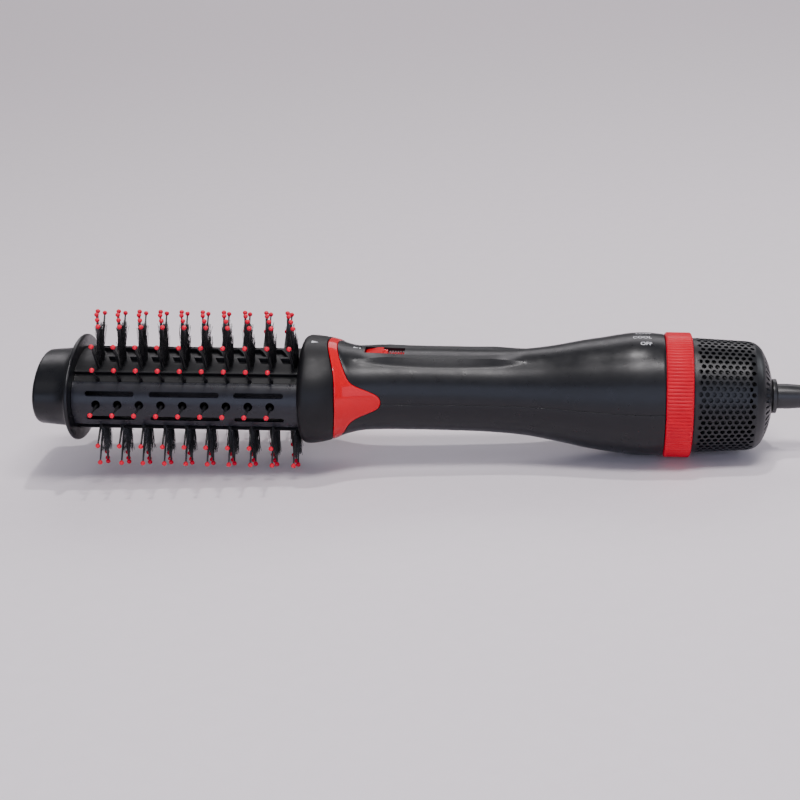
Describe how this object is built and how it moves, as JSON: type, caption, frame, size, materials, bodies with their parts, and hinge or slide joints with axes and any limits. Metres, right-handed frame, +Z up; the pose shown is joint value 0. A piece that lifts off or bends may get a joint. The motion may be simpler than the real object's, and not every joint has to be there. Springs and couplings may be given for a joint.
{
  "type": "hot air brush",
  "caption": "Hot air styling brush: oval vented barrel with ball-tipped pins and tufts on a pull-off head, two-shell handle with blower, selector ring, inlet basket and swivel cord.",
  "frame": {"origin": "bottom centre of the brush without its cord, on the surface it lies on", "axes": "+X along the brush from the tip towards the cord, +Z up through the release slider, -Y the near side"},
  "size_m": [0.5784, 0.1271, 0.0806],
  "materials": {
    "charcoal_shell": "satin, fine moulded grain",
    "vent_plate": "satin gloss",
    "black_matte": "matte moulded",
    "nylon": "smooth nylon",
    "bristle": "nylon filament",
    "pin_red": "dipped resin",
    "gloss_red": "high gloss",
    "satin_red": "satin, ribbed",
    "inlet_black": "satin",
    "steel_mesh": "woven wire",
    "screw_steel": "zinc plated",
    "motor_steel": "rolled",
    "core_aluminium": "anodised",
    "mica": "layered mica board",
    "heater_wire": "oxidised resistance wire",
    "ceramic": "unglazed",
    "blower_grey": "moulded",
    "impeller_ivory": "moulded",
    "contact_brass": "rolled",
    "board_green": "solder mask",
    "swivel_black": "satin",
    "cord_rubber": "matte",
    "plug_black": "fine grain",
    "plug_pin": "nickel plated"
  },
  "bodies": {
    "handle": {"trim_ring": "gloss_red", "handle_upper_shell": "charcoal_shell", "handle_lower_shell": "charcoal_shell", "shell_screws": "screw_steel", "screw_posts": "black_matte", "head_spigot": "black_matte", "release_spring": "screw_steel", "slider_tray": "black_matte", "heater_sleeve": "mica", "heater_frame": "mica", "heater_coil": "heater_wire", "thermostat": "screw_steel", "thermal_fuse": "ceramic", "stator_vanes": "blower_grey", "motor_can": "motor_steel", "motor_cradle": "blower_grey", "rear_neck": "black_matte", "switch_contacts": "contact_brass", "circuit_board": "board_green", "inlet_basket": "inlet_black", "inlet_filter": "steel_mesh", "cord_lead": "cord_rubber", "cord_coil": "cord_rubber", "cord_tie": "cord_rubber", "cord_tail": "cord_rubber", "plug_body": "plug_black", "plug_pins": "plug_pin"},
    "head": {"cool_tip": "charcoal_shell", "tip_screw": "screw_steel", "front_vent_plate": "vent_plate", "rear_vent_plate": "vent_plate", "upper_bristle_frame": "black_matte", "lower_bristle_frame": "black_matte", "upper_pins": "nylon", "lower_pins": "nylon", "front_pins": "nylon", "rear_pins": "nylon", "upper_pin_tips": "pin_red", "lower_pin_tips": "pin_red", "side_pin_tips": "pin_red", "upper_tufts": "bristle", "lower_tufts": "bristle", "air_core": "core_aluminium", "head_collar": "black_matte", "head_socket": "black_matte"},
    "release": {"release_slider": "gloss_red"},
    "blower": {"impeller": "impeller_ivory", "motor_shaft": "screw_steel"},
    "selector": {"selector_ring": "satin_red", "contact_wiper": "contact_brass"},
    "swivel": {"swivel_hub": "swivel_black", "strain_relief": "cord_rubber"}
  },
  "joints": [
    {"name": "head_pull", "type": "slide", "parent": "handle", "child": "head", "axis": [-0.9993, 0, 0.0375], "range_m": [0, 0.045]},
    {"name": "release_slide", "type": "slide", "parent": "handle", "child": "release", "axis": [0.9993, 0, -0.0375], "range_m": [0, 0.008], "stiffness_N_per_m": 200, "springref_m": -0.004, "deforming": ["release_spring"]},
    {"name": "blower_spin", "type": "hinge", "parent": "handle", "child": "blower", "pos_m": [0.07665, 0, 0.03281], "axis": [0.9993, 0, -0.0375], "continuous": true},
    {"name": "selector_turn", "type": "hinge", "parent": "handle", "child": "selector", "pos_m": [0.11892, 0, 0.03123], "axis": [0.9993, 0, -0.0375], "range_deg": [0, 35.4]},
    {"name": "cord_swivel", "type": "hinge", "parent": "handle", "child": "swivel", "pos_m": [0.16659, 0, 0.02943], "axis": [0.9993, 0, -0.0375], "continuous": true}
  ]
}
